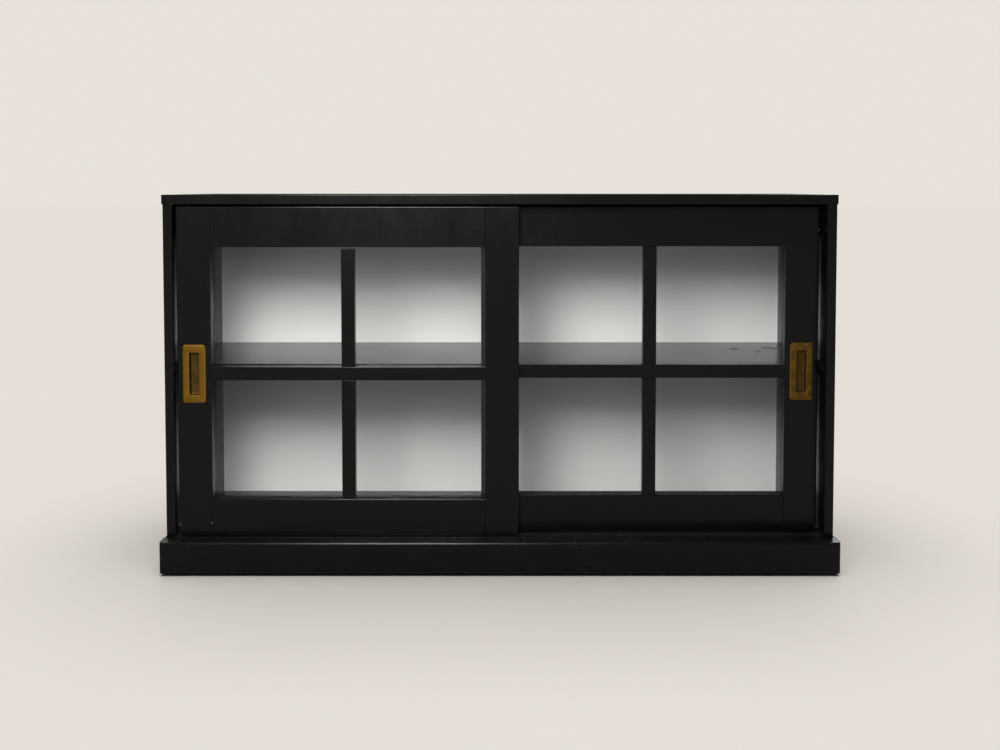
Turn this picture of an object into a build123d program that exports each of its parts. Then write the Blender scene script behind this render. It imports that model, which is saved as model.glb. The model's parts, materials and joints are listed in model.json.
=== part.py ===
from build123d import *
import os

# A low display cabinet on a plinth, with two glazed sliding doors that pass one another.
# Millimetres. The origin is on the floor, midway between the plinth's ends and midway from
# front to back. +X is to the right seen from the front, -Y is the front and +Z is up.

# --- Overall sizes ---
overall_width = 1200.0  # across the plinth
overall_depth = 310.0  # plinth face to the rear edges of the carcass
overall_height = 672.0  # floor to the upper face of the top board

# --- Carcass boards ---
side_thickness = 16.0
top_thickness = 17.0
bottom_thickness = 18.0
shelf_thickness = 18.0
back_thickness = 3.0
back_inset = 5.0  # rear edges of the boards to the back panel
back_groove_depth = 6.0
back_groove_play = 0.1  # each side of the back panel
top_overhang = 1.5  # past the sides and the front edges
board_arris = 1.0  # rounded long edges of the boards
floor_z = 48.0  # inside floor, the upper face of the bottom board

# --- Plinth and feet ---
plinth_top_z = 60.0
plinth_front_thickness = 24.0
plinth_side_thickness = 5.0
plinth_back_thickness = 16.0
plinth_brace_thickness = 18.0
plinth_round = 3.5
plinth_side_round = 2.5
corner_block_size = 16.0
glide_height = 5.0
glide_radius = 8.0
glide_inset = 22.0
glide_nail_radius = 1.2
glide_nail_length = 14.0

# --- Doors ---
door_recess = 5.0  # front edges of the sides to the front door's face
door_thickness = 20.0
door_gap = 2.0  # between the two doors
door_rear_gap = 3.0  # rear door to the shelf
door_overlap = 68.0
door_bottom_gap = 1.5
door_top_gap = 4.0
door_arris = 1.5
pull_stile_width = 60.0
meeting_stile_width = 60.0
top_rail_width = 72.0
bottom_rail_width = 66.0
muntin_width = 24.0
muntin_setback = 0.4  # behind the frame's face
muntin_arris = 0.8
front_muntin_end_gap = 3.0
rear_muntin_end_gap = 0.3
muntin_tenon_length = 6.0
muntin_tenon_thickness = 5.0
muntin_tenon_shoulder = 4.0
rail_tenon_length = 25.0
rail_tenon_thickness = 6.0
rail_tenon_shoulder = 13.0
joint_play = 0.1  # all round a tenon, a dowel or a fitting

# --- Glazing ---
glass_thickness = 3.0
glass_setback = 14.0  # face of the frame to the glass
rebate_width = 8.0
glass_edge_play = 1.0

# --- Flush pulls ---
pull_width = 41.0
pull_height = 104.0
pull_plate_thickness = 1.5
pull_proud = 0.7
pull_corner = 3.0
pull_edge = 0.5
cup_width = 18.0
cup_height = 76.0
cup_depth = 9.5
cup_wall = 1.0
cup_corner = 1.5

# --- Rollers and tracks ---
wheel_radius = 9.0
wheel_width = 4.4
wheel_bore_play = 0.05
wheel_edge = 0.5
wheel_hole_count = 5
wheel_hole_radius = 1.1
wheel_hole_circle = 5.0
axle_radius = 1.5
axle_play = 0.02
roller_inset = 88.0  # door edge to the roller's axle
housing_length = 46.0
housing_width = 12.0
housing_height = 20.0
wheel_slot_play = 0.6
wheel_slot_reach = 1.5
running_gap = 0.1
track_width = 9.0
track_wall = 1.5
bottom_track_depth = 5.0
top_track_depth = 8.0
guide_radius = 2.5
guide_body_radius = 5.0
guide_body_length = 22.0
guide_tip_gap = 1.0
guide_inset = 18.0  # door edge to the guide pin

# --- Bumpers ---
bumper_height = 14.0
bumper_depth = 44.0
bumper_thickness = 5.0
bumper_corner = 3.0
bumper_inset = 3.0  # behind the front edge of the side
bumper_z = 363.0
bumper_play = 0.2

# --- Shelf fittings ---
shelf_end_gap = 1.0
shelf_back_gap = 1.0
pin_radius = 2.5
pin_depth = 9.0
pin_hole_depth = 11.0
pin_hole_pitch = 32.0
pin_hole_rows = 3
pin_setback = 37.0  # shelf edges to the pins
spade_length = 8.0
spade_width = 8.0
spade_height = 6.0

# --- Hanging rail ---
hanging_rail_thickness = 15.0
hanging_rail_height = 70.0
wall_hole_spacing = 900.0
wall_hole_radius = 3.0

# --- Knock-down fittings and dowels ---
cam_radius = 7.4
cam_height = 12.0
cam_pocket_play = 0.1
cam_edge_distance = 24.0
cam_bore_radius = 3.9
cam_slot_width = 1.4
cam_slot_depth = 2.0
bolt_radius = 3.0
bolt_head_radius = 3.6
bolt_neck_length = 3.0
bolt_embed = 11.0
fitting_front_inset = 75.0
fitting_back_inset = 40.0
fitting_dowel_offset = 32.0
dowel_radius = 4.0
dowel_embed = 10.0
dowel_reach = 20.0

# --- Positions that follow from the sizes ---
plinth_face_y = -overall_depth / 2
back_y = overall_depth / 2
carcass_front_y = plinth_face_y + plinth_front_thickness
half_outer = overall_width / 2 - plinth_side_thickness
half_inner = half_outer - side_thickness
top_under_z = overall_height - top_thickness
bottom_under_z = floor_z - bottom_thickness
back_panel_front_y = back_y - back_inset - back_thickness
front_door_y = carcass_front_y + door_recess
rear_door_y = front_door_y + door_thickness + door_gap
sill_back_y = rear_door_y + door_thickness + door_rear_gap
shelf_back_y = back_panel_front_y - shelf_back_gap
door_bottom_z = plinth_top_z + door_bottom_gap
door_top_z = top_under_z - door_top_gap
door_reach = half_inner - bumper_thickness - bumper_play
door_width = door_reach + door_overlap / 2
lite_bottom_z = door_bottom_z + bottom_rail_width
lite_top_z = door_top_z - top_rail_width
muntin_z = (lite_bottom_z + lite_top_z) / 2
shelf_top_z = muntin_z + shelf_thickness / 2
shelf_under_z = muntin_z - shelf_thickness / 2
bottom_track_floor_z = plinth_top_z - bottom_track_depth + track_wall
wheel_z = bottom_track_floor_z + running_gap + wheel_radius
guide_tip_z = top_under_z + top_track_depth - track_wall - guide_tip_gap
fitting_ys = (carcass_front_y + fitting_front_inset, back_y - fitting_back_inset)
dowel_ys = (fitting_ys[0] + fitting_dowel_offset, fitting_ys[1] - fitting_dowel_offset)
bottom_mid_z = floor_z - bottom_thickness / 2
side_mid_x = half_outer - side_thickness / 2
rail_front_y = back_panel_front_y - hanging_rail_thickness
rail_middle_y = back_panel_front_y - hanging_rail_thickness / 2
wall_hole_z = top_under_z - hanging_rail_height / 2
track_ys = (front_door_y + door_thickness / 2, rear_door_y + door_thickness / 2)

REAR, UP = (0, 1, 0), (0, 0, 1)
BOTH_SIDES = (-1, 1)
FROM_START = (Align.CENTER, Align.CENTER, Align.MIN)


# --- Helpers ---
def block(x, y, z):
    """A box between two limits along each axis."""
    spans = (x, y, z)
    middle = [(low + high) / 2 for low, high in spans]
    return Pos(*middle) * Box(*[high - low for low, high in spans])


def rod(start, direction, radius, length):
    """A cylinder that starts at a point and runs in a direction."""
    return Plane(origin=start, z_dir=direction) * Cylinder(radius, length, align=FROM_START)


def plate(centre, direction, width, height, thickness, corner):
    """A plate with round corners that stands on a face; its height is along Z."""
    face = Plane(origin=centre, x_dir=Vector(0, 0, 1).cross(Vector(*direction)), z_dir=direction)
    return extrude(face * RectangleRounded(width, height, corner), thickness)


def front_edges(solid, y):
    """The straight edges that lie in the plane of a front face."""
    return [e for e in solid.edges() if all(abs(v.Y - y) < 1e-6 for v in e.vertices())]


def round_front(solid, y, radius):
    """Rounds the edges round a front face."""
    return fillet(front_edges(solid, y), radius)


def round_long_front(solid, y, axis, radius):
    """Rounds the front edges that run along one axis and leaves the ends square."""
    edges = ShapeList(front_edges(solid, y)).filter_by(axis)
    return fillet(edges, radius)


def ring_of(count, make):
    """Pieces set evenly round a circle, made by a function of the angle in degrees."""
    return [make(360.0 * step / count) for step in range(count)]


def save(name, *solids):
    """Writes one node: a single solid, or a group of separate ones."""
    export_step(solids[0] if len(solids) == 1 else Compound(list(solids)), f"parts/{name}.step")


# --- Shared fittings ---
def cam_lock(face_point, into):
    """A cam disc let in flush, with a driver slot and a way in for the bolt's head."""
    disc = rod(face_point, into, cam_radius, cam_height)
    axis = Vector(*into)
    mouth = Vector(*face_point)
    across = Vector(0, 1, 0)
    along = axis.cross(across)
    slot_plane = Plane(origin=mouth, x_dir=across, z_dir=into)
    slot = extrude(slot_plane * Rectangle(2 * cam_radius * 0.7, cam_slot_width), cam_slot_depth)
    cross_plane = Plane(origin=mouth, x_dir=along, z_dir=into)
    cross_slot = extrude(cross_plane * Rectangle(2 * cam_radius * 0.7, cam_slot_width), cam_slot_depth)
    return disc - slot - cross_slot


def cam_bolt(centre, direction, reach):
    """A steel bolt from the middle of a cam to its thread in the next board."""
    head = rod(centre, direction, bolt_head_radius, bolt_neck_length)
    neck_start = Vector(*centre) + Vector(*direction) * bolt_neck_length
    shank = rod(neck_start, direction, bolt_radius, reach + bolt_embed - bolt_neck_length)
    return head + shank


def bolt_hole(centre, direction, reach):
    """The drilling for a cam bolt, clear of its head and shank."""
    radius = bolt_head_radius + joint_play
    clearance = rod(centre, direction, radius, reach)
    thread_start = Vector(*centre) + Vector(*direction) * reach
    thread = rod(thread_start, direction, bolt_radius + joint_play, bolt_embed + joint_play)
    return clearance + thread


def dowel(joint_point, direction):
    """A wooden dowel across a joint; it reaches further into the board it comes from."""
    start = Vector(*joint_point) - Vector(*direction) * dowel_reach
    return rod(start, direction, dowel_radius, dowel_reach + dowel_embed)


def dowel_hole(joint_point, direction):
    start = Vector(*joint_point) - Vector(*direction) * (dowel_reach + joint_play)
    length = dowel_reach + dowel_embed + 2 * joint_play
    return rod(start, direction, dowel_radius + joint_play, length)


def fitting_points():
    """Where cams, bolts and dowels go: the face points and directions, for both sides."""
    top, bottom, dowels = [], [], []
    for side in BOTH_SIDES:
        outward = (side, 0, 0)
        for y in fitting_ys:
            cam_mouth = (side * half_inner, y, top_under_z - cam_edge_distance)
            bolt_centre = (side * side_mid_x, y, top_under_z - cam_edge_distance)
            top.append((cam_mouth, outward, bolt_centre, UP))
            cam_mouth = (side * (half_inner - cam_edge_distance), y, bottom_under_z)
            bolt_centre = (side * (half_inner - cam_edge_distance), y, bottom_mid_z)
            bottom.append((cam_mouth, UP, bolt_centre, outward))
        for y in dowel_ys:
            dowels.append(((side * side_mid_x, y, top_under_z), UP))
            dowels.append(((side * half_inner, y, bottom_mid_z), outward))
    return top, bottom, dowels


TOP_FITTINGS, BOTTOM_FITTINGS, DOWELS = fitting_points()
RAIL_DOWELS = [
    ((side * half_inner, rail_middle_y, wall_hole_z + step), (side, 0, 0))
    for side in BOTH_SIDES
    for step in (-hanging_rail_height / 4, hanging_rail_height / 4)
]
glide_ys = (carcass_front_y + glide_inset, back_y - glide_inset)
GLIDES = [(side * side_mid_x, y) for side in BOTH_SIDES for y in glide_ys]
GLIDES += [(0, glide_ys[0]), (0, glide_ys[1] - plinth_back_thickness)]


def drill_fittings(board):
    """Cuts every cam pocket, bolt hole, dowel hole and glide nail hole that meets a board."""
    for cams in (TOP_FITTINGS, BOTTOM_FITTINGS):
        for mouth, into, centre, direction in cams:
            board -= rod(mouth, into, cam_radius + cam_pocket_play, cam_height + cam_pocket_play)
            board -= bolt_hole(centre, direction, cam_edge_distance)
    for point, direction in DOWELS + RAIL_DOWELS:
        board -= dowel_hole(point, direction)
    for x, y in GLIDES:
        nail_length = glide_nail_length + joint_play
        board -= rod((x, y, glide_height), UP, glide_nail_radius + joint_play, nail_length)
    return board


# --- Carcass ---
def back_groove():
    """The groove for the back panel, cut through the sides, the bottom and the top together."""
    reach = half_inner + back_groove_depth
    panel_rear_y = back_panel_front_y + back_thickness
    y = (back_panel_front_y - back_groove_play, panel_rear_y + back_groove_play)
    return block((-reach, reach), y, (floor_z - back_groove_depth, top_under_z + back_groove_depth))


def shelf_pin_places():
    """(side, y) of each pin; the spare holes above and below share its y."""
    ys = (sill_back_y + pin_setback, shelf_back_y - pin_setback)
    return [(side, y) for side in BOTH_SIDES for y in ys]


def side_panel(side):
    x = sorted((side * half_inner, side * half_outer))
    panel = block(x, (carcass_front_y, back_y), (glide_height, top_under_z))
    panel = round_long_front(panel, carcass_front_y, Axis.Z, board_arris)
    panel -= back_groove()
    for pin_side, y in shelf_pin_places():
        if pin_side != side:
            continue
        for row in range(pin_hole_rows):
            z = shelf_under_z - spade_height / 2 + (row - (pin_hole_rows - 1) / 2) * pin_hole_pitch
            hole_radius = pin_radius + joint_play
            panel -= rod((side * half_inner, y, z), (side, 0, 0), hole_radius, pin_hole_depth)
    return drill_fittings(panel)


def top_panel():
    reach = half_outer + top_overhang
    y = (carcass_front_y - top_overhang, back_y)
    panel = block((-reach, reach), y, (top_under_z, overall_height))
    sharp = panel.edges().filter_by(Axis.Y) + ShapeList(front_edges(panel, y[0]))
    panel = fillet(sharp, board_arris)
    for track_y in track_ys:
        half = track_width / 2
        track_z = (top_under_z, top_under_z + top_track_depth)
        panel -= block((-half_inner, half_inner), (track_y - half, track_y + half), track_z)
    panel -= back_groove()
    return drill_fittings(panel)


def bottom_panel():
    panel = block((-half_inner, half_inner), (carcass_front_y, back_y), (bottom_under_z, floor_z))
    panel -= back_groove()
    return drill_fittings(panel)


def back_panel():
    reach = half_inner + back_groove_depth - back_groove_play
    y = (back_panel_front_y, back_panel_front_y + back_thickness)
    low, high = floor_z - back_groove_depth, top_under_z + back_groove_depth
    panel = block((-reach, reach), y, (low + back_groove_play, high - back_groove_play))
    return panel - wall_holes()


def wall_holes():
    """Clearance holes for the two wall screws, through the hanging rail and the back."""
    length = overall_depth / 2
    start_y = rail_front_y - back_inset
    spots = [side * wall_hole_spacing / 2 for side in BOTH_SIDES]
    return [rod((x, start_y, wall_hole_z), REAR, wall_hole_radius, length) for x in spots]


def hanging_rail():
    z = (top_under_z - hanging_rail_height, top_under_z)
    rail = block((-half_inner, half_inner), (rail_front_y, back_panel_front_y), z)
    rail = round_long_front(rail, rail_front_y, Axis.X, board_arris)
    for point, direction in RAIL_DOWELS:
        rail -= dowel_hole(point, direction)
    return rail - wall_holes()


def shelf():
    reach = half_inner - shelf_end_gap
    board = block((-reach, reach), (sill_back_y, shelf_back_y), (shelf_under_z, shelf_top_z))
    return round_long_front(board, sill_back_y, Axis.X, board_arris)


def shelf_pin(side, y):
    """A spade pin: the round end sits in the side, the flat end carries the shelf."""
    z = shelf_under_z - spade_height / 2
    inner = side * half_inner
    stem = rod((inner, y, z), (side, 0, 0), pin_radius, pin_depth)
    spade_x = sorted((inner, inner - side * spade_length))
    half = spade_width / 2
    return stem + block(spade_x, (y - half, y + half), (shelf_under_z - spade_height, shelf_under_z))


def door_sill():
    """The strip that the doors run on, flush with the plinth's top."""
    sill = block((-half_inner, half_inner), (carcass_front_y, sill_back_y), (floor_z, plinth_top_z))
    rear_edges = sill.edges().filter_by(Axis.X).sort_by(Axis.Y)[-2:]
    sill = fillet(rear_edges.sort_by(Axis.Z)[-1:], board_arris)
    half = track_width / 2
    for track_y in track_ys:
        track_z = (plinth_top_z - bottom_track_depth, plinth_top_z)
        sill -= block((-half_inner, half_inner), (track_y - half, track_y + half), track_z)
    return sill


def track(track_y, low, high, open_up):
    """A U-shaped channel along the cabinet, open at the top or at the bottom."""
    half, inner = track_width / 2, track_width / 2 - track_wall
    channel = block((-half_inner, half_inner), (track_y - half, track_y + half), (low, high))
    hollow = (low + track_wall, high) if open_up else (low, high - track_wall)
    return channel - block((-half_inner, half_inner), (track_y - inner, track_y + inner), hollow)


def bumper(side):
    """A felt pad on the side, where either door comes to rest."""
    y = carcass_front_y + bumper_inset + bumper_depth / 2
    centre = (side * half_inner, y, bumper_z)
    return plate(centre, (-side, 0, 0), bumper_depth, bumper_height, bumper_thickness, bumper_corner)


# --- Plinth ---
def plinth_front():
    half = overall_width / 2
    board = block((-half, half), (plinth_face_y, carcass_front_y), (glide_height, plinth_top_z))
    face = ShapeList(front_edges(board, plinth_face_y))
    corners = face.filter_by(Axis.Z)
    top_front = face.filter_by(Axis.X).sort_by(Axis.Z)[-1:]
    return fillet(corners + top_front, plinth_round)


def plinth_side(side):
    x = sorted((side * half_outer, side * overall_width / 2))
    board = block(x, (carcass_front_y, back_y), (glide_height, plinth_top_z))
    outer = [
        e
        for e in board.edges().filter_by(Axis.Y)
        if e.center().Z > floor_z and abs(e.center().X) > half_outer + plinth_side_thickness / 2
    ]
    return fillet(outer, plinth_side_round)


def plinth_back():
    y = (back_y - plinth_back_thickness, back_y)
    return block((-half_inner, half_inner), y, (glide_height, bottom_under_z))


def plinth_brace():
    half = plinth_brace_thickness / 2
    y = (carcass_front_y, back_y - plinth_back_thickness)
    return drill_fittings(block((-half, half), y, (glide_height, bottom_under_z)))


def corner_blocks():
    """Glue blocks under the bottom board in its four corners."""
    rear = back_y - plinth_back_thickness
    ys = ((carcass_front_y, carcass_front_y + corner_block_size), (rear - corner_block_size, rear))
    blocks = []
    for side in BOTH_SIDES:
        x = sorted((side * half_inner, side * (half_inner - corner_block_size)))
        blocks += [block(x, y, (glide_height, bottom_under_z)) for y in ys]
    return blocks


def glide(x, y):
    """A nail-in foot: a domed disc with its nail."""
    disc = rod((x, y, 0), UP, glide_radius, glide_height)
    foot = disc.edges().filter_by(GeomType.CIRCLE).sort_by(Axis.Z)[0]
    disc = fillet([foot], glide_height / 4)
    return disc + rod((x, y, glide_height), UP, glide_nail_radius, glide_nail_length)


# --- Doors ---
class Door:
    """One door: where its frame lies, and what each of its pieces is cut by."""

    def __init__(self, name, left_x, face_y, pull_side, end_gap):
        self.name = name
        self.left, self.right = left_x, left_x + door_width
        self.front, self.rear = face_y, face_y + door_thickness
        self.pull_side = pull_side
        self.end_gap = end_gap
        widths = (pull_stile_width, meeting_stile_width)
        self.left_width, self.right_width = widths if pull_side < 0 else widths[::-1]
        self.lite_left = self.left + self.left_width
        self.lite_right = self.right - self.right_width
        self.glass_y = face_y + glass_setback
        self.middle_y = face_y + door_thickness / 2
        outer_edge = self.left if pull_side < 0 else self.right
        self.pull_x = outer_edge - pull_side * pull_stile_width / 2
        self.roller_xs = (self.left + roller_inset, self.right - roller_inset)
        self.guide_xs = (self.left + guide_inset, self.right - guide_inset)

    def rebate(self):
        """The glazing rebate, open to the rear, cut round the whole frame."""
        x = (self.lite_left - rebate_width, self.lite_right + rebate_width)
        z = (lite_bottom_z - rebate_width, lite_top_z + rebate_width)
        return block(x, (self.glass_y, self.rear), z)

    def rail_tenons(self, play=0.0):
        """Stub tenons of both rails, or their mortises when play is given."""
        half = rail_tenon_thickness / 2 + play
        y = (self.front + glass_setback / 2 - half, self.front + glass_setback / 2 + half)
        x = (self.lite_left - rail_tenon_length - play, self.lite_right + rail_tenon_length + play)
        zs = (
            (door_bottom_z + rail_tenon_shoulder - play, lite_bottom_z - rail_tenon_shoulder + play),
            (lite_top_z + rail_tenon_shoulder - play, door_top_z - rail_tenon_shoulder + play),
        )
        return [block(x, y, z) for z in zs]

    def muntin_tenon(self, play=0.0):
        """The cross bar's tenon from stile to stile, or its mortises when play is given."""
        half = muntin_tenon_thickness / 2 + play
        y = (self.front + glass_setback / 2 - half, self.front + glass_setback / 2 + half)
        reach = muntin_tenon_length + play
        x = (self.lite_left - reach, self.lite_right + reach)
        half_z = muntin_width / 2 - muntin_tenon_shoulder + play
        return block(x, y, (muntin_z - half_z, muntin_z + half_z))

    def stile(self, x):
        stile = block(x, (self.front, self.rear), (door_bottom_z, door_top_z))
        stile = round_front(stile, self.front, door_arris)
        stile -= self.rebate()
        for mortise in self.rail_tenons(joint_play):
            stile -= mortise
        stile -= self.muntin_tenon(joint_play)
        if x[0] < self.pull_x < x[1]:
            stile -= self.pull_pocket()
        for hole in self.guide_holes():
            stile -= hole
        return stile

    def rail(self, z, tenon):
        rail = block((self.lite_left, self.lite_right), (self.front, self.rear), z)
        rail = round_long_front(rail, self.front, Axis.X, door_arris)
        rail -= self.rebate()
        rail += tenon
        for x in self.roller_xs:
            rail -= self.housing_pocket(x)
        return rail

    def horizontal_muntin(self):
        y = (self.front + muntin_setback, self.glass_y)
        half = muntin_width / 2
        bar = block((self.lite_left, self.lite_right), y, (muntin_z - half, muntin_z + half))
        bar = round_long_front(bar, y[0], Axis.X, muntin_arris)
        bar += self.muntin_tenon()
        return bar - self.cross_lap((self.lap_y(), self.glass_y))

    def cross_lap(self, y):
        """The square where the two bars cross, cut from one of them over a depth."""
        middle = (self.lite_left + self.lite_right) / 2
        lap = muntin_width / 2 + joint_play
        return block((middle - lap, middle + lap), y, (muntin_z - lap, muntin_z + lap))

    def lap_y(self):
        """Where the two bars of the cross meet, halfway through their thickness."""
        return (self.front + muntin_setback + self.glass_y) / 2

    def vertical_muntin(self):
        y = (self.front + muntin_setback, self.glass_y)
        middle = (self.lite_left + self.lite_right) / 2
        half = muntin_width / 2
        z = (lite_bottom_z + self.end_gap, lite_top_z - self.end_gap)
        bar = block((middle - half, middle + half), y, z)
        bar = round_long_front(bar, y[0], Axis.Z, muntin_arris)
        return bar - self.cross_lap((y[0], self.lap_y() + joint_play))

    def glass(self):
        reach = rebate_width - glass_edge_play
        x = (self.lite_left - reach, self.lite_right + reach)
        z = (lite_bottom_z - reach, lite_top_z + reach)
        return block(x, (self.glass_y, self.glass_y + glass_thickness), z)

    def glazing_beads(self):
        """Four strips that hold the glass in its rebate, flush with the frame's rear."""
        y = (self.glass_y + glass_thickness, self.rear)
        reach = rebate_width - joint_play
        left, right = self.lite_left - reach, self.lite_right + reach
        low, high = lite_bottom_z - reach, lite_top_z + reach
        sides = [(left, left + reach), (right - reach, right)]
        ends = [(low, low + reach), (high - reach, high)]
        beads = [block((left, right), y, z) for z in ends]
        return beads + [block(x, y, (ends[0][1], ends[1][0])) for x in sides]

    def pull(self):
        """A flush pull: a face plate and a finger cup drawn from one sheet."""
        face = (self.pull_x, self.front - pull_proud, muntin_z)
        plate_body = plate(face, REAR, pull_width, pull_height, pull_plate_thickness, pull_corner)
        rim = [e for e in plate_body.edges() if abs(e.center().Y - face[1]) < 1e-6]
        plate_body = chamfer(rim, pull_edge)
        outer = (cup_width + 2 * cup_wall, cup_height + 2 * cup_wall)
        shell = plate(face, REAR, *outer, cup_depth + cup_wall, cup_corner + cup_wall)
        shell -= plate(face, REAR, *outer, pull_edge, cup_corner + cup_wall)
        hollow = plate(face, REAR, cup_width, cup_height, cup_depth, cup_corner)
        return plate_body + shell - hollow

    def pull_pocket(self):
        """The shallow seat of the plate and the deeper pocket of the cup."""
        face = (self.pull_x, self.front, muntin_z)
        seat_depth = pull_plate_thickness - pull_proud
        play = 2 * joint_play
        seat = plate(face, REAR, pull_width + play, pull_height + play, seat_depth, pull_corner + joint_play)
        outer = (cup_width + 2 * cup_wall + play, cup_height + 2 * cup_wall + play)
        depth = cup_depth + cup_wall - pull_proud + joint_play
        return seat + plate(face, REAR, *outer, depth, cup_corner + cup_wall + joint_play)

    def housing_pocket(self, x):
        half = housing_length / 2 + joint_play
        half_y = housing_width / 2 + joint_play
        y = (self.middle_y - half_y, self.middle_y + half_y)
        z = (door_bottom_z, door_bottom_z + housing_height + joint_play)
        return block((x - half, x + half), y, z)

    def roller_housing(self, x):
        """A moulded box with a slot for the wheel and a hole for its axle."""
        half = housing_length / 2
        y = (self.middle_y - housing_width / 2, self.middle_y + housing_width / 2)
        body = block((x - half, x + half), y, (door_bottom_z, door_bottom_z + housing_height))
        reach = wheel_radius + wheel_slot_reach
        slot_half = wheel_width / 2 + wheel_slot_play
        slot_y = (self.middle_y - slot_half, self.middle_y + slot_half)
        body -= block((x - reach, x + reach), slot_y, (door_bottom_z, wheel_z + reach))
        return body - rod((x, y[0], wheel_z), REAR, axle_radius + axle_play, housing_width)

    def axle(self, x):
        return rod((x, self.middle_y - housing_width / 2, wheel_z), REAR, axle_radius, housing_width)

    def wheel(self, x):
        """A nylon wheel with a ring of lightening holes."""
        start_y = self.middle_y - wheel_width / 2
        wheel = rod((x, start_y, wheel_z), REAR, wheel_radius, wheel_width)
        wheel = fillet(wheel.edges().filter_by(GeomType.CIRCLE), wheel_edge)
        wheel -= rod((x, start_y, wheel_z), REAR, axle_radius + wheel_bore_play, wheel_width)

        def hole(angle):
            spot = Vector(wheel_hole_circle, 0, 0).rotate(Axis.Y, angle)
            return rod((x + spot.X, start_y, wheel_z + spot.Z), REAR, wheel_hole_radius, wheel_width)

        for cut in ring_of(wheel_hole_count, hole):
            wheel -= cut
        return wheel

    def guide_holes(self):
        start = door_top_z - guide_body_length - joint_play
        length, radius = guide_body_length + joint_play, guide_body_radius + joint_play
        return [rod((x, self.middle_y, start), UP, radius, length) for x in self.guide_xs]

    def top_guide(self, x):
        """A guide plug in the door's top edge, with its pin in the top track."""
        start = (x, self.middle_y, door_top_z - guide_body_length)
        body = rod(start, UP, guide_body_radius, guide_body_length)
        return body + rod((x, self.middle_y, door_top_z), UP, guide_radius, guide_tip_z - door_top_z)

    def write(self):
        left_x, right_x = (self.left, self.lite_left), (self.lite_right, self.right)
        bottom_tenon, top_tenon = self.rail_tenons()
        save(f"{self.name}_left_stile", self.stile(left_x))
        save(f"{self.name}_right_stile", self.stile(right_x))
        save(f"{self.name}_bottom_rail", self.rail((door_bottom_z, lite_bottom_z), bottom_tenon))
        save(f"{self.name}_top_rail", self.rail((lite_top_z, door_top_z), top_tenon))
        save(f"{self.name}_horizontal_muntin", self.horizontal_muntin())
        save(f"{self.name}_vertical_muntin", self.vertical_muntin())
        save(f"{self.name}_glass", self.glass())
        save(f"{self.name}_glazing_beads", *self.glazing_beads())
        save(f"{self.name}_pull", self.pull())
        save(f"{self.name}_top_guides", *[self.top_guide(x) for x in self.guide_xs])
        save(f"{self.name}_roller_housings", *[self.roller_housing(x) for x in self.roller_xs])
        save(f"{self.name}_axles", *[self.axle(x) for x in self.roller_xs])
        for end, x in zip(("left", "right"), self.roller_xs):
            save(f"{self.name}_{end}_wheel", self.wheel(x))


# --- The whole cabinet ---
def write_carcass():
    save("top_panel", top_panel())
    save("left_side_panel", side_panel(-1))
    save("right_side_panel", side_panel(1))
    save("bottom_panel", bottom_panel())
    save("back_panel", back_panel())
    save("hanging_rail", hanging_rail())
    save("shelf", shelf())
    save("shelf_pins", *[shelf_pin(side, y) for side, y in shelf_pin_places()])
    save("door_sill", door_sill())
    for name, y in zip(("front", "rear"), track_ys):
        save(f"{name}_bottom_track", track(y, plinth_top_z - bottom_track_depth, plinth_top_z, True))
        save(f"{name}_top_track", track(y, top_under_z, top_under_z + top_track_depth, False))
    save("left_bumper", bumper(-1))
    save("right_bumper", bumper(1))


def write_fittings():
    for place, fittings in (("top", TOP_FITTINGS), ("bottom", BOTTOM_FITTINGS)):
        cams, bolts = [], []
        for mouth, into, centre, direction in fittings:
            head_way = rod(centre, direction, cam_bore_radius, cam_radius + 1)
            cams.append(cam_lock(mouth, into) - head_way)
            bolts.append(cam_bolt(centre, direction, cam_edge_distance))
        save(f"{place}_cams", *cams)
        save(f"{place}_cam_bolts", *bolts)
    save("carcass_dowels", *[dowel(point, direction) for point, direction in DOWELS])
    save("hanging_rail_dowels", *[dowel(point, direction) for point, direction in RAIL_DOWELS])


def write_plinth():
    save("plinth_front", plinth_front())
    save("plinth_left", plinth_side(-1))
    save("plinth_right", plinth_side(1))
    save("plinth_back", plinth_back())
    save("plinth_brace", plinth_brace())
    save("corner_blocks", *corner_blocks())
    save("glides", *[glide(x, y) for x, y in GLIDES])


os.makedirs("parts", exist_ok=True)
write_carcass()
write_fittings()
write_plinth()
Door("front_door", -door_reach, front_door_y, -1, front_muntin_end_gap).write()
Door("rear_door", door_reach - door_width, rear_door_y, 1, rear_muntin_end_gap).write()
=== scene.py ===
import json
import math

import bpy
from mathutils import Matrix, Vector


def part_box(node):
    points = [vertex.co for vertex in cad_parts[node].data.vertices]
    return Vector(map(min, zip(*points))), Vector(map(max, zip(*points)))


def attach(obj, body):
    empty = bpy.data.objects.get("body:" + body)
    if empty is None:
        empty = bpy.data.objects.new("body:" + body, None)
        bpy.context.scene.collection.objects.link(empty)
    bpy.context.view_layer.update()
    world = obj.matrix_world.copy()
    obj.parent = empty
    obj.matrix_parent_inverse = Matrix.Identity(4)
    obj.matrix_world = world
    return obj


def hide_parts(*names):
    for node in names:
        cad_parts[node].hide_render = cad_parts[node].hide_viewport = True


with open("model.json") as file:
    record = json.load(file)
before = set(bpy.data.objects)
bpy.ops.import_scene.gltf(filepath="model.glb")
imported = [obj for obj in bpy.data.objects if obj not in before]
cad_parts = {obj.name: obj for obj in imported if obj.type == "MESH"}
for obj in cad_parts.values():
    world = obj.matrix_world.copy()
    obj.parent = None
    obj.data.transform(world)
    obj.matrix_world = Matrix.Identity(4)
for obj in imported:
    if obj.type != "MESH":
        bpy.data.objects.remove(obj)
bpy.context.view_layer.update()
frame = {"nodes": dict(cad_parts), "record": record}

# Finishes, fittings and marks for a black display cabinet with two glazed sliding doors.
# Metres. The front faces -Y, +X is to the right and +Z is up.

nodes = frame["nodes"]
MM = 0.001
BEVEL_SAMPLES = 4


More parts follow.
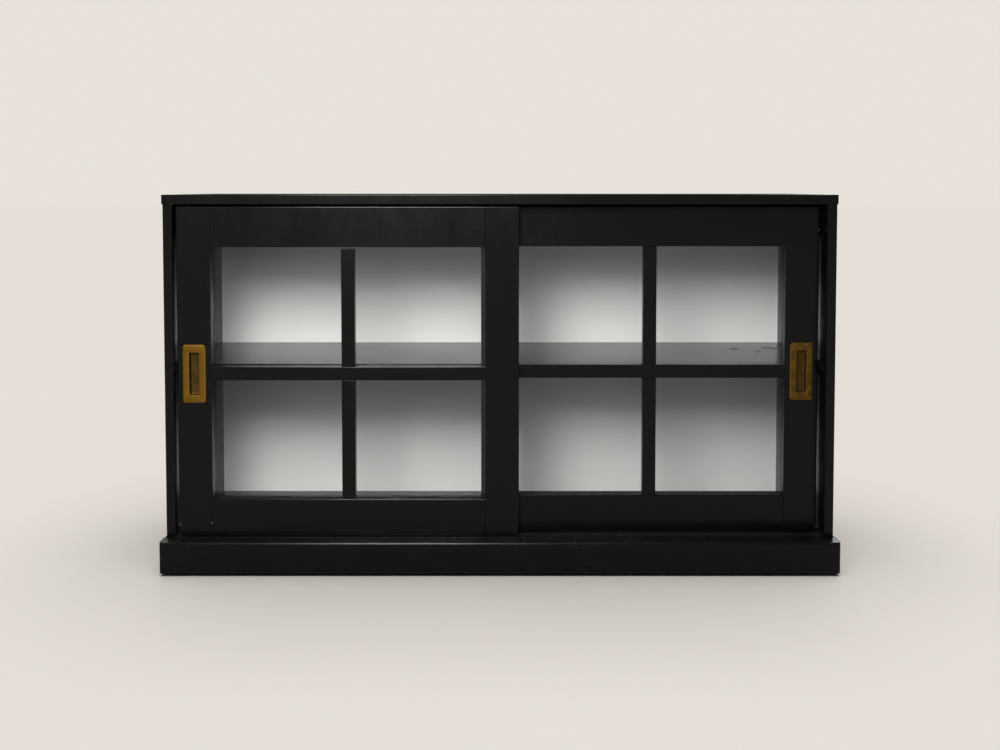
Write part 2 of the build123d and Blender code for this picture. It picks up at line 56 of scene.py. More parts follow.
# --- Node tools ---
def add_node(tree, kind, **settings):
    """One node, with its settings; a number or colour for an input is given as inputs={...}."""
    node = tree.nodes.new(kind)
    for label, value in settings.pop("inputs", {}).items():
        plug(tree, value, node.inputs[label])
    for label, value in settings.items():
        setattr(node, label, value)
    return node


def plug(tree, value, socket):
    """Links an output, or sets a plain value."""
    if isinstance(value, bpy.types.NodeSocket):
        tree.links.new(value, socket)
    else:
        socket.default_value = value


def calc(tree, operation, first, second=0.0, clamp=False):
    node = tree.nodes.new("ShaderNodeMath")
    node.operation = operation
    node.use_clamp = clamp
    plug(tree, first, node.inputs[0])
    plug(tree, second, node.inputs[1])
    return node.outputs[0]


def add_share(tree, base, value, share, clamp=False):
    """A base value raised by a share of another value."""
    return calc(tree, "ADD", base, calc(tree, "MULTIPLY", value, share), clamp)


def spread(tree, value, low, high, to_low=0.0, to_high=1.0):
    """A value remapped smoothly from low..high to another range, and kept inside it."""
    inputs = {"Value": value, "From Min": low, "From Max": high, "To Min": to_low,
              "To Max": to_high}
    node = add_node(tree, "ShaderNodeMapRange", interpolation_type="SMOOTHSTEP", inputs=inputs)
    return node.outputs["Result"]


def blend_colours(tree, share, first, second):
    node = tree.nodes.new("ShaderNodeMix")
    node.data_type = "RGBA"
    plug(tree, share, node.inputs["Factor"])
    plug(tree, first, node.inputs[6])
    plug(tree, second, node.inputs[7])
    return node.outputs[2]


def place(tree, stretch=(1.0, 1.0, 1.0), turn=(0.0, 0.0, 0.0), start=(0.0, 0.0, 0.0)):
    """Object coordinates, shifted, turned and stretched."""
    where = tree.nodes.new("ShaderNodeTexCoord")
    inputs = {"Vector": where.outputs["Object"], "Location": start, "Rotation": turn,
              "Scale": stretch}
    return add_node(tree, "ShaderNodeMapping", inputs=inputs).outputs["Vector"]


def noise(tree, where, scale, detail=3.0, roughness=0.5, distortion=0.0):
    inputs = {"Vector": where, "Scale": scale, "Detail": detail, "Roughness": roughness,
              "Distortion": distortion}
    return add_node(tree, "ShaderNodeTexNoise", inputs=inputs).outputs["Fac"]


def axis_of(tree, vector, axis):
    return add_node(tree, "ShaderNodeSeparateXYZ", inputs={"Vector": vector}).outputs[axis]


def effect(name, inputs, outputs):
    """An empty shader node group with numbers in and out, by name: (tree, inputs, outputs)."""
    tree = bpy.data.node_groups.new(name, "ShaderNodeTree")
    for label, value in inputs.items():
        socket = tree.interface.new_socket(label, in_out="INPUT", socket_type="NodeSocketFloat")
        socket.default_value = value
    for label in outputs:
        tree.interface.new_socket(label, in_out="OUTPUT", socket_type="NodeSocketFloat")
    entry = tree.nodes.new("NodeGroupInput").outputs
    result = tree.nodes.new("NodeGroupOutput").inputs
    return tree, entry, result


def use(tree, group, **inputs):
    """An effect placed in a material with its own values; gives its outputs."""
    node = tree.nodes.new("ShaderNodeGroup")
    node.node_tree = group
    for label, value in inputs.items():
        plug(tree, value, node.inputs[label.replace("_", " ")])
    return node.outputs


# --- Effects shared by several finishes ---
def make_sprayed_skin():
    """The faint ripple of sprayed lacquer, with fine nibs of dust caught in it."""
    tree, entry, result = effect("sprayed_skin", {"Ripple": 420.0, "Nib size": 1500.0},
                                 ["Height", "Nibs"])
    where = place(tree)
    ripple = noise(tree, where, entry["Ripple"], detail=2.0, roughness=0.45)
    sag = noise(tree, place(tree, stretch=(1.0, 1.0, 0.35)), scale=26.0, detail=2.0, roughness=0.5)
    inputs = {"Vector": where, "Scale": entry["Nib size"]}
    cells = add_node(tree, "ShaderNodeTexVoronoi", inputs=inputs)
    near = spread(tree, cells.outputs["Distance"], low=0.16, high=0.05)
    rare = spread(tree, axis_of(tree, cells.outputs["Color"], 0), low=0.955, high=0.965)
    nibs = calc(tree, "MULTIPLY", near, rare)
    height = add_share(tree, calc(tree, "MULTIPLY", ripple, 0.6), sag, share=0.05)
    plug(tree, add_share(tree, height, nibs, share=0.8), result["Height"])
    plug(tree, nibs, result["Nibs"])
    return tree


def make_edge_wear():
    """A mask along sharp edges, broken up as rubbing leaves it."""
    tree, entry, result = effect("edge_wear", {"Reach": 0.0015, "Breakup": 90.0, "Amount": 0.5},
                                 ["Mask"])
    geometry = tree.nodes.new("ShaderNodeNewGeometry")
    soft = add_node(tree, "ShaderNodeBevel", samples=BEVEL_SAMPLES,
                    inputs={"Radius": entry["Reach"]})
    dot = tree.nodes.new("ShaderNodeVectorMath")
    dot.operation = "DOT_PRODUCT"
    plug(tree, soft.outputs["Normal"], dot.inputs[0])
    plug(tree, geometry.outputs["Normal"], dot.inputs[1])
    turn = spread(tree, dot.outputs["Value"], low=0.995, high=0.86)
    broken = noise(tree, place(tree), entry["Breakup"], detail=4.0, roughness=0.65)
    level = calc(tree, "SUBTRACT", 1.0, entry["Amount"])
    rubbed = spread(tree, broken, low=level, high=calc(tree, "ADD", level, 0.12))
    plug(tree, calc(tree, "MULTIPLY", turn, rubbed), result["Mask"])
    return tree


def make_settled_dust():
    """Dust on faces that look up, thinner where something brushed past."""
    tree, entry, result = effect("settled_dust", {"Amount": 0.3}, ["Mask"])
    geometry = tree.nodes.new("ShaderNodeNewGeometry")
    up = spread(tree, axis_of(tree, geometry.outputs["Normal"], 2), low=0.55, high=0.98)
    cloud = noise(tree, place(tree), scale=7.0, detail=4.0, roughness=0.6, distortion=0.6)
    film = spread(tree, cloud, low=0.30, high=0.75, to_low=0.25, to_high=1.0)
    grit = noise(tree, place(tree), scale=900.0, detail=2.0, roughness=0.7)
    motes = spread(tree, grit, low=0.60, high=0.78)
    loose = add_share(tree, calc(tree, "MULTIPLY", film, 0.6), motes, share=0.9)
    settled = calc(tree, "MULTIPLY", up, loose)
    plug(tree, calc(tree, "MULTIPLY", settled, entry["Amount"]), result["Mask"])
    return tree


def make_hairlines():
    """Fine scratches that run a few ways, as cloths and moved things leave them."""
    tree, entry, result = effect("hairlines", {"Density": 0.5}, ["Mask"])
    ways = (((0.3, 0.2, 0.5), 0.0), ((-0.5, 0.4, -0.7), 3.1), ((1.2, -0.3, 1.4), 7.7))
    total = 0.0
    for turn, start in ways:
        drawn = place(tree, stretch=(6.0, 260.0, 260.0), turn=turn, start=(start, start, 0.0))
        lines = noise(tree, drawn, scale=1.0, detail=1.0, roughness=0.4)
        band = calc(tree, "ABSOLUTE", calc(tree, "SUBTRACT", lines, 0.5))
        line = spread(tree, band, low=0.006, high=0.0)
        cloud = noise(tree, place(tree, start=(start, 0.0, start)), scale=9.0, detail=2.0)
        patch = spread(tree, cloud, low=0.55, high=0.70)
        total = calc(tree, "MAXIMUM", total, calc(tree, "MULTIPLY", line, patch))
    plug(tree, calc(tree, "MULTIPLY", total, entry["Density"]), result["Mask"])
    return tree


def make_handling():
    """Broad uneven sheen from wiping and handling."""
    tree, entry, result = effect("handling", {"Low": 0.25, "High": 0.35, "Size": 8.0},
                                 ["Roughness"])
    upright = place(tree, stretch=(1.0, 1.0, 0.6))
    broad = noise(tree, upright, entry["Size"], detail=3.0, roughness=0.55, distortion=0.4)
    leaning = place(tree, stretch=(2.0, 2.0, 0.4), turn=(0.2, 0.3, 0.4))
    smear = noise(tree, leaning, scale=40.0, detail=2.0, roughness=0.6)
    level = add_share(tree, calc(tree, "MULTIPLY", broad, 0.75), smear, share=0.25)
    level = spread(tree, level, low=0.30, high=0.70)
    span = calc(tree, "SUBTRACT", entry["High"], entry["Low"])
    plug(tree, add_share(tree, entry["Low"], level, share=span), result["Roughness"])
    return tree


def make_draw_lines():
    """Fine parallel lines along Z, as brushing or drawing leaves them in metal."""
    tree, entry, result = effect("draw_lines", {"Fineness": 2600.0}, ["Height", "Streak"])
    along = place(tree, stretch=(1.0, 1.0, 0.03))
    fine = noise(tree, along, entry["Fineness"], detail=2.0, roughness=0.6)
    coarse = calc(tree, "MULTIPLY", entry["Fineness"], 0.2)
    broad = noise(tree, place(tree, stretch=(1.0, 1.0, 0.10)), coarse, detail=2.0, roughness=0.5)
    plug(tree, fine, result["Height"])
    plug(tree, calc(tree, "MULTIPLY", calc(tree, "ADD", fine, broad), 0.5), result["Streak"])
    return tree


def make_pressed_chips():
    """Wood chips pressed into board: flat cells of several tones, with dark gaps."""
    tree, entry, result = effect("pressed_chips", {"Chip size": 420.0}, ["Tone", "Height"])
    bent = place(tree, stretch=(1.0, 1.0, 1.6), turn=(0.3, 0.5, 0.2))
    inputs = {"Vector": bent, "Scale": entry["Chip size"], "Randomness": 1.0}
    chips = add_node(tree, "ShaderNodeTexVoronoi", inputs=inputs)
    grain = place(tree, stretch=(1.0, 1.0, 0.2), turn=(0.4, 0.2, 0.9))
    fibre = noise(tree, grain, scale=1800.0, detail=2.0, roughness=0.6)
    tone = calc(tree, "MULTIPLY", axis_of(tree, chips.outputs["Color"], 0), 0.75)
    plug(tree, add_share(tree, tone, fibre, share=0.25), result["Tone"])
    plug(tree, spread(tree, chips.outputs["Distance"], low=0.75, high=0.35), result["Height"])
    return tree


def make_rub_mark():
    """One short ragged mark on a face that looks up, centred at a place along X and Y."""
    inputs = {"X": 0.0, "Y": 0.0, "Half length": 0.02, "Half width": 0.003, "Lean": 0.0}
    tree, entry, result = effect("rub_mark", inputs, ["Mask"])
    where = place(tree)
    along = calc(tree, "SUBTRACT", axis_of(tree, where, 0), entry["X"])
    across = calc(tree, "SUBTRACT", axis_of(tree, where, 1), entry["Y"])
    across = calc(tree, "SUBTRACT", across, calc(tree, "MULTIPLY", along, entry["Lean"]))
    wander = calc(tree, "SUBTRACT", noise(tree, where, scale=130.0, detail=3.0, roughness=0.6), 0.5)
    across = add_share(tree, across, wander, share=0.008)
    far_along = calc(tree, "DIVIDE", calc(tree, "ABSOLUTE", along), entry["Half length"])
    far_across = calc(tree, "DIVIDE", calc(tree, "ABSOLUTE", across), entry["Half width"])
    in_length = spread(tree, far_along, low=1.0, high=0.6)
    in_width = spread(tree, far_across, low=1.0, high=0.4)
    inside = calc(tree, "MULTIPLY", in_length, in_width)
    tatter = noise(tree, where, scale=420.0, detail=3.0, roughness=0.7)
    torn = spread(tree, tatter, low=0.34, high=0.48)
    plug(tree, calc(tree, "MULTIPLY", inside, torn), result["Mask"])
    return tree


def make_edge_chip():
    """One small ragged chip round a point in space."""
    inputs = {"X": 0.0, "Y": 0.0, "Z": 0.0, "Radius": 0.002}
    tree, entry, result = effect("edge_chip", inputs, ["Mask"])
    where = place(tree)
    total = 0.0
    for axis, label in enumerate(("X", "Y", "Z")):
        apart = calc(tree, "SUBTRACT", axis_of(tree, where, axis), entry[label])
        total = calc(tree, "ADD", total, calc(tree, "MULTIPLY", apart, apart))
    far = calc(tree, "DIVIDE", calc(tree, "SQRT", total), entry["Radius"])
    ragged = calc(tree, "MULTIPLY", noise(tree, where, scale=900.0, detail=3.0, roughness=0.6), 0.9)
    plug(tree, spread(tree, calc(tree, "ADD", far, ragged), low=1.25, high=1.1), result["Mask"])
    return tree


SPRAYED_SKIN = make_sprayed_skin()
EDGE_WEAR = make_edge_wear()
SETTLED_DUST = make_settled_dust()
HAIRLINES = make_hairlines()
HANDLING = make_handling()
DRAW_LINES = make_draw_lines()
PRESSED_CHIPS = make_pressed_chips()
RUB_MARK = make_rub_mark()
EDGE_CHIP = make_edge_chip()


# --- Finishes ---
def finish(name, **plain):
    """A material with one Principled shader; gives (material, tree, shader)."""
    material = bpy.data.materials.new(name)
    material.use_nodes = True
    tree = material.node_tree
    shader = tree.nodes["Principled BSDF"]
    for label, value in plain.items():
        shader.inputs[label.replace("_", " ")].default_value = value
    return material, tree, shader


def bump(tree, shader, height, strength, depth, soft_edge=0.0):
    """Relief of a given depth in metres, over edges softened to a radius."""
    inputs = {"Height": height, "Strength": strength, "Distance": depth}
    node = add_node(tree, "ShaderNodeBump", inputs=inputs)
    if soft_edge:
        rounded = add_node(tree, "ShaderNodeBevel", samples=BEVEL_SAMPLES,
                           inputs={"Radius": soft_edge})
        tree.links.new(rounded.outputs["Normal"], node.inputs["Normal"])
    tree.links.new(node.outputs["Normal"], shader.inputs["Normal"])


LACQUER_BLACK = (0.0030, 0.0030, 0.0030, 1.0)
LACQUER_FADED = (0.0045, 0.0043, 0.0041, 1.0)
LACQUER_RUBBED = (0.050, 0.047, 0.043, 1.0)
CHIPPED_BOARD = (0.30, 0.25, 0.19, 1.0)
DUST_GREY = (0.20, 0.19, 0.175, 1.0)
LACQUER_RELIEF = 0.12 * MM


def lacquer(name, sheen=(0.19, 0.25), wear=0.42, dust=0.10, scratches=0.30, marks=(), chips=(),
            soft_edge=1.2 * MM):
    """Black satin lacquer on board.

    marks are (x, y, half length, half width, lean) of scuffs, chips are (x, y, z, radius).
    """
    material, tree, shader = finish(name, IOR=1.5)
    skin = use(tree, SPRAYED_SKIN)
    worn = use(tree, EDGE_WEAR, Amount=wear)["Mask"]
    dusty = use(tree, SETTLED_DUST, Amount=dust)["Mask"]
    scratched = use(tree, HAIRLINES, Density=scratches)["Mask"]
    rough = use(tree, HANDLING, Low=sheen[0], High=sheen[1])["Roughness"]
    tone = noise(tree, place(tree), scale=3.5, detail=3.0, roughness=0.5)
    fading = spread(tree, tone, low=0.3, high=0.7, to_low=0.0, to_high=0.25)
    colour = blend_colours(tree, fading, LACQUER_BLACK, LACQUER_FADED)
    pale = calc(tree, "MAXIMUM", worn, calc(tree, "MULTIPLY", scratched, 0.5))
    pale = calc(tree, "MAXIMUM", pale, calc(tree, "MULTIPLY", skin["Nibs"], 0.6))
    colour = blend_colours(tree, pale, colour, LACQUER_RUBBED)
    colour = blend_colours(tree, dusty, colour, DUST_GREY)
    dulled = calc(tree, "MAXIMUM", dusty, scratched)
    rough = add_share(tree, rough, dulled, share=0.30)
    for x, y, half_length, half_width, lean in marks:
        shape = {"X": x, "Y": y, "Half_length": half_length, "Half_width": half_width, "Lean": lean}
        mark = use(tree, RUB_MARK, **shape)["Mask"]
        rough = add_share(tree, rough, mark, share=0.75, clamp=True)
    for x, y, z, radius in chips:
        chip = use(tree, EDGE_CHIP, X=x, Y=y, Z=z, Radius=radius)["Mask"]
        colour = blend_colours(tree, chip, colour, CHIPPED_BOARD)
        rough = add_share(tree, rough, chip, share=0.5, clamp=True)
    plug(tree, colour, shader.inputs["Base Color"])
    plug(tree, rough, shader.inputs["Roughness"])
    bump(tree, shader, skin["Height"], strength=0.08, depth=LACQUER_RELIEF, soft_edge=soft_edge)
    return material


# scuffs on the shelf: x, y, half length, half width, lean
SHELF_SCUFFS = (
    (0.470, 0.072, 0.009, 0.008, 0.2),
    (0.507, 0.040, 0.007, 0.006, 0.0),
    (0.538, 0.082, 0.012, 0.007, 0.0),
    (0.562, 0.072, 0.018, 0.009, -0.4),
)
# scuffs on the inside floor
FLOOR_SCUFFS = (
    (-0.060, 0.020, 0.026, 0.006, 0.1),
    (0.530, 0.030, 0.024, 0.006, -0.1),
)

# chips in the edges: x, y, z, radius
CARCASS_CHIPS = (
    (-0.578, -0.131, 0.6550, 0.0022),
    (0.112, -0.115, 0.0600, 0.0018),
)
DOOR_CHIPS = (
    (-0.5737, -0.126, 0.0815, 0.0022),
    (-0.5150, -0.126, 0.0843, 0.0015),
    (0.5737, -0.104, 0.6090, 0.0022),
)

carcass_lacquer = lacquer("carcass_lacquer", chips=CARCASS_CHIPS)
door_lacquer = lacquer("door_lacquer", sheen=(0.19, 0.26), wear=0.36, dust=0.08, chips=DOOR_CHIPS)
shelf_lacquer = lacquer("shelf_lacquer", sheen=(0.20, 0.24), dust=0.03, scratches=0.4,
                        marks=SHELF_SCUFFS)
floor_lacquer = lacquer("inside_floor_lacquer", sheen=(0.20, 0.24), dust=0.04, scratches=0.4,
                        marks=FLOOR_SCUFFS)
plinth_lacquer = lacquer("plinth_lacquer", sheen=(0.20, 0.28), wear=0.50, dust=0.08, scratches=0.6,
                         soft_edge=2.6 * MM)


FOIL_WHITE = (0.80, 0.80, 0.79, 1.0)
FOIL_BRIGHT = (0.84, 0.84, 0.83, 1.0)
FOIL_SPECK = (0.55, 0.54, 0.52, 1.0)
HARDBOARD_DARK = (0.16, 0.085, 0.042, 1.0)
HARDBOARD_LIGHT = (0.34, 0.20, 0.105, 1.0)
HARDBOARD_STAIN = (0.15, 0.085, 0.045, 1.0)
SCREEN_PITCH = 1.9 * MM


def make_back_board():
    """White foil on the face that shows inside, brown hardboard with its screen marks behind."""
    low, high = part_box("back_panel")
    material, tree, shader = finish("white_back_board", IOR=1.45)
    where = place(tree)
    behind = spread(tree, axis_of(tree, where, 1), low=low.y + 0.5 * MM, high=low.y + 1.0 * MM)
    mottle = noise(tree, where, scale=5.0, detail=3.0, roughness=0.5)
    white = blend_colours(tree, mottle, FOIL_WHITE, FOIL_BRIGHT)
    grit = noise(tree, where, scale=700.0, detail=2.0, roughness=0.6)
    specks = spread(tree, grit, low=0.72, high=0.80)
    white = blend_colours(tree, calc(tree, "MULTIPLY", specks, 0.10), white, FOIL_SPECK)
    pressed = place(tree, stretch=(1.0, 1.0, 0.5), turn=(0.0, 0.4, 0.0))
    fibres = noise(tree, pressed, scale=260.0, detail=5.0, roughness=0.7)
    cloud = noise(tree, where, scale=9.0, detail=3.0, roughness=0.5)
    brown = blend_colours(tree, fibres, HARDBOARD_DARK, HARDBOARD_LIGHT)
    stain = spread(tree, cloud, low=0.35, high=0.7, to_low=0.0, to_high=0.15)
    brown = blend_colours(tree, stain, brown, HARDBOARD_STAIN)
    plug(tree, blend_colours(tree, behind, white, brown), shader.inputs["Base Color"])
    rough = add_share(tree, 0.46, behind, share=0.34)
    plug(tree, rough, shader.inputs["Roughness"])
    weave = 0.0
    for axis in (0, 2):
        turns = calc(tree, "MULTIPLY", axis_of(tree, where, axis), math.tau / SCREEN_PITCH)
        weave = calc(tree, "ADD", weave, calc(tree, "SINE", turns))
    screen = calc(tree, "MULTIPLY", weave, 0.25)
    relief = calc(tree, "MULTIPLY", behind, calc(tree, "ADD", screen, fibres))
    foil = calc(tree, "MULTIPLY", noise(tree, where, scale=900.0, detail=2.0, roughness=0.5), 0.12)
    bump(tree, shader, calc(tree, "ADD", relief, foil), strength=0.5, depth=0.0003)
    return material


WOOD_CHIP_DARK = (0.26, 0.155, 0.075, 1.0)
WOOD_CHIP_LIGHT = (0.62, 0.46, 0.28, 1.0)
RAW_BOARD_STAIN = (0.30, 0.20, 0.11, 1.0)


def make_raw_board():
    """Bare particle board: pressed wood chips, unevenly stained."""
    material, tree, shader = finish("raw_particle_board")
    chips = use(tree, PRESSED_CHIPS)
    colour = blend_colours(tree, chips["Tone"], WOOD_CHIP_DARK, WOOD_CHIP_LIGHT)
    cloud = noise(tree, place(tree), scale=12.0, detail=3.0, roughness=0.5)
    stain = spread(tree, cloud, low=0.45, high=0.75, to_low=0.0, to_high=0.35)
    colour = blend_colours(tree, stain, colour, RAW_BOARD_STAIN)
    plug(tree, colour, shader.inputs["Base Color"])
    rough = spread(tree, chips["Tone"], low=0.0, high=1.0, to_low=0.92, to_high=0.72)
    plug(tree, rough, shader.inputs["Roughness"])
    bump(tree, shader, chips["Height"], strength=0.6, depth=0.0004)
    return material


BEECH_DARK = (0.52, 0.34, 0.19, 1.0)
BEECH_LIGHT = (0.72, 0.53, 0.34, 1.0)


def make_dowel_wood():
    """Plain beech, with its grain along Z."""
    material, tree, shader = finish("beech_dowel")
    grain = place(tree, stretch=(1.0, 1.0, 0.12))
    fleck = noise(tree, grain, scale=900.0, detail=3.0, roughness=0.6)
    colour = blend_colours(tree, fleck, BEECH_DARK, BEECH_LIGHT)
    plug(tree, colour, shader.inputs["Base Color"])
    rough = spread(tree, fleck, low=0.2, high=0.8, to_low=0.75, to_high=0.58)
    plug(tree, rough, shader.inputs["Roughness"])
    bump(tree, shader, fleck, strength=0.4, depth=0.0002)
    return material


GLASS_CLEAN = (0.985, 0.992, 0.988, 1.0)
GLASS_FILMED = (0.965, 0.975, 0.970, 1.0)
GLASS_SHADOW = (0.96, 0.97, 0.965, 1.0)


def make_glass():
    """Clear float glass that lets lamps through, with a faint film of dust and wiping."""
    inputs = {"Transmission_Weight": 1.0, "IOR": 1.5, "Metallic": 0.0}
    material, tree, shader = finish("clear_glass", **inputs)
    wiped = place(tree, stretch=(1.0, 1.0, 0.5))
    cloud = noise(tree, wiped, scale=6.0, detail=4.0, roughness=0.6, distortion=0.8)
    film = spread(tree, cloud, low=0.35, high=0.75)
    colour = blend_colours(tree, film, GLASS_CLEAN, GLASS_FILMED)
    plug(tree, colour, shader.inputs["Base Color"])
    plug(tree, calc(tree, "MULTIPLY", film, 0.015), shader.inputs["Roughness"])
    rays = tree.nodes.new("ShaderNodeLightPath")
    clear = add_node(tree, "ShaderNodeBsdfTransparent", inputs={"Color": GLASS_SHADOW})
    mix = tree.nodes.new("ShaderNodeMixShader")
    tree.links.new(rays.outputs["Is Shadow Ray"], mix.inputs[0])
    tree.links.new(shader.outputs[0], mix.inputs[1])
    tree.links.new(clear.outputs[0], mix.inputs[2])
    tree.links.new(mix.outputs[0], tree.nodes["Material Output"].inputs["Surface"])
    return material


BRASS_WARM = (0.46, 0.245, 0.034, 1.0)
BRASS_DEEP = (0.36, 0.180, 0.026, 1.0)
BRASS_STREAK = (0.52, 0.290, 0.050, 1.0)
# dark brass colour used both for painted shade in the cup and for tarnish
BRASS_SHADE_AND_TARNISH = (0.115, 0.075, 0.022, 1.0)
BRASS_RUBBED = (0.66, 0.47, 0.20, 1.0)


def make_brass(name, node, tarnish_and_shade):
    """Antique brass, brushed along its length, rubbed bright at the rim, with painted shade
    darkening the cup and a tarnish share that, when high, stands in for painted shade on the whole
    pull.
    """
    face_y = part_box(node)[0].y
    material, tree, shader = finish(name, Metallic=1.0)
    lines = use(tree, DRAW_LINES, Fineness=1500.0)
    where = place(tree)
    cloud = noise(tree, where, scale=55.0, detail=4.0, roughness=0.6, distortion=0.5)
    patch = spread(tree, cloud, low=0.35, high=0.65)
    colour = blend_colours(tree, patch, BRASS_WARM, BRASS_DEEP)
    streak = spread(tree, lines["Streak"], low=0.3, high=0.7, to_low=0.0, to_high=0.35)
    colour = blend_colours(tree, streak, colour, BRASS_STREAK)
    rubbed = use(tree, EDGE_WEAR, Reach=0.0016, Breakup=60.0, Amount=0.85)["Mask"]
    depth = calc(tree, "SUBTRACT", axis_of(tree, where, 1), face_y)
    grime_and_shade_blotches = noise(tree, where, scale=80.0, detail=4.0, roughness=0.6)
    # painted shade: the finger cup is darkened by its depth behind the plate, unevenly, where shade
    # falls in the recess
    painted_cup_shade = spread(tree, depth, low=0.6 * MM, high=2.0 * MM)
    uneven = spread(tree, grime_and_shade_blotches, low=0.2, high=0.8, to_low=1.0, to_high=0.75)
    dark = calc(tree, "MULTIPLY", painted_cup_shade, uneven)
    # tarnish share: real tarnish at a low share, and at a high share painted shade that darkens the
    # whole pull
    tarnish_and_shade_mask = calc(tree, "MULTIPLY", spread(tree, grime_and_shade_blotches, low=0.3, high=0.6), tarnish_and_shade)
    dark = calc(tree, "MAXIMUM", dark, tarnish_and_shade_mask)
    colour = blend_colours(tree, dark, colour, BRASS_SHADE_AND_TARNISH)
    rubbed = calc(tree, "MULTIPLY", rubbed, spread(tree, depth, low=2.0 * MM, high=0.8 * MM))
    colour = blend_colours(tree, rubbed, colour, BRASS_RUBBED)
    plug(tree, colour, shader.inputs["Base Color"])
    rough = add_share(tree, 0.44, patch, share=0.10)
    rough = calc(tree, "SUBTRACT", rough, calc(tree, "MULTIPLY", rubbed, 0.12))
    plug(tree, rough, shader.inputs["Roughness"])
    bump(tree, shader, lines["Height"], strength=0.3, depth=0.00005)
    return material


def make_metal(name, dull, bright, roughness, relief):
    """Plated steel or cast zinc: mottled plating over fine lines."""
    material, tree, shader = finish(name, Metallic=1.0)
    lines = use(tree, DRAW_LINES, Fineness=3200.0)
    spangle = noise(tree, place(tree), scale=260.0, detail=3.0, roughness=0.6)
    plug(tree, blend_colours(tree, spangle, dull, bright), shader.inputs["Base Color"])
    rough = add_share(tree, roughness, lines["Streak"], share=0.15)
    plug(tree, rough, shader.inputs["Roughness"])
    height = calc(tree, "ADD", calc(tree, "MULTIPLY", lines["Height"], 0.4), spangle)
    bump(tree, shader, height, strength=0.4, depth=relief)
    return material


def make_moulding(name, dark, light, roughness, grain, dust):
    """Moulded plastic with a fine spark-eroded grain."""
    material, tree, shader = finish(name, IOR=1.5)
    texture = noise(tree, place(tree), grain, detail=2.0, roughness=0.6)
    dusty = use(tree, SETTLED_DUST, Amount=dust)["Mask"]
    colour = blend_colours(tree, texture, dark, light)
    plug(tree, blend_colours(tree, dusty, colour, DUST_GREY), shader.inputs["Base Color"])
    rough = add_share(tree, roughness, texture, share=0.15)
    plug(tree, add_share(tree, rough, dusty, share=0.3), shader.inputs["Roughness"])
    bump(tree, shader, texture, strength=0.4, depth=0.0001)
    return material


FELT_BLACK = (0.0015, 0.0015, 0.0015, 1.0)
FELT_FIBRE = (0.006, 0.0056, 0.0056, 1.0)


def make_felt():
    """Matted black felt that hardly shines."""
    material, tree, shader = finish("black_felt", Specular_IOR_Level=0.1)
    matted = noise(tree, place(tree), scale=1300.0, detail=4.0, roughness=0.75, distortion=1.2)
    clump = noise(tree, place(tree), scale=260.0, detail=3.0, roughness=0.6)
    colour = blend_colours(tree, matted, FELT_BLACK, FELT_FIBRE)
    plug(tree, colour, shader.inputs["Base Color"])
    rough = spread(tree, clump, low=0.2, high=0.8, to_low=0.88, to_high=1.0)
    plug(tree, rough, shader.inputs["Roughness"])
    bump(tree, shader, calc(tree, "ADD", matted, clump), strength=0.9, depth=0.0004)
    return material


back_board = make_back_board()
raw_board = make_raw_board()
dowel_wood = make_dowel_wood()
glass = make_glass()
# front pull: a little real tarnish; rear pull: a high share that paints the shade falling on the
# rear door, making it darker than the front pull
front_brass = make_brass("front_door_brass", "front_door_pull", tarnish_and_shade=0.10)
rear_brass = make_brass("rear_door_brass", "rear_door_pull", tarnish_and_shade=0.60)
steel = make_metal("plated_steel", dull=(0.50, 0.50, 0.51, 1.0), bright=(0.66, 0.66, 0.66, 1.0),
                   roughness=0.28, relief=0.00005)
zinc = make_metal("cast_zinc", dull=(0.38, 0.38, 0.40, 1.0), bright=(0.52, 0.52, 0.54, 1.0),
                  roughness=0.42, relief=0.00012)
black_plastic = make_moulding("black_plastic", dark=(0.008, 0.008, 0.008, 1.0),
                              light=(0.016, 0.016, 0.016, 1.0),
                              roughness=0.38, grain=2400.0, dust=0.18)
nylon = make_moulding("natural_nylon", dark=(0.72, 0.71, 0.66, 1.0), light=(0.82, 0.81, 0.77, 1.0),
                      roughness=0.32, grain=1800.0, dust=0.05)
felt = make_felt()

SLOT_FINISH = {
    "white_back": back_board,
    "raw_board": raw_board,
    "dowel_wood": dowel_wood,
    "glass": glass,
    "brass": front_brass,
    "steel": steel,
    "zinc": zinc,
    "black_plastic": black_plastic,
    "nylon": nylon,
    "felt": felt,
}
BOARD_FINISH = {"shelf": shelf_lacquer, "bottom_panel": floor_lacquer}


def finish_of(node, slot):
    """The finish of a node: by its slot, and for lacquer by where the board sits."""
    if slot != "black_lacquer":
        return SLOT_FINISH[slot]
    if node in BOARD_FINISH:
        return BOARD_FINISH[node]
    if node.startswith("plinth"):
        return plinth_lacquer
    return door_lacquer if "_door_" in node else carcass_lacquer


slots = {part["node"]: part["material_slot"] for part in frame["record"]["subparts"]}
for name, piece in nodes.items():
    for material_slot in piece.material_slots:
        material_slot.material = finish_of(name, slots[name])


# --- Modelling tools ---
NEAR = 0.1 * MM
IN_PLANE = 0.05 * MM
FACING = 0.9


def clear_selection():
    """Object mode, with nothing selected."""
    if bpy.context.object and bpy.context.object.mode != "OBJECT":
        bpy.ops.object.mode_set(mode="OBJECT")
    bpy.ops.object.select_all(action="DESELECT")


def start_block(name, low, high):
    """A box between two corners, its place in its mesh, ready to be shaped."""
    clear_selection()
    bpy.ops.mesh.primitive_cube_add(size=1.0, location=(low + high) / 2, scale=high - low)
    bpy.ops.object.transform_apply(location=True, rotation=True, scale=True)
    piece = bpy.context.object
    piece.name = name
    piece.data.name = name
    return piece


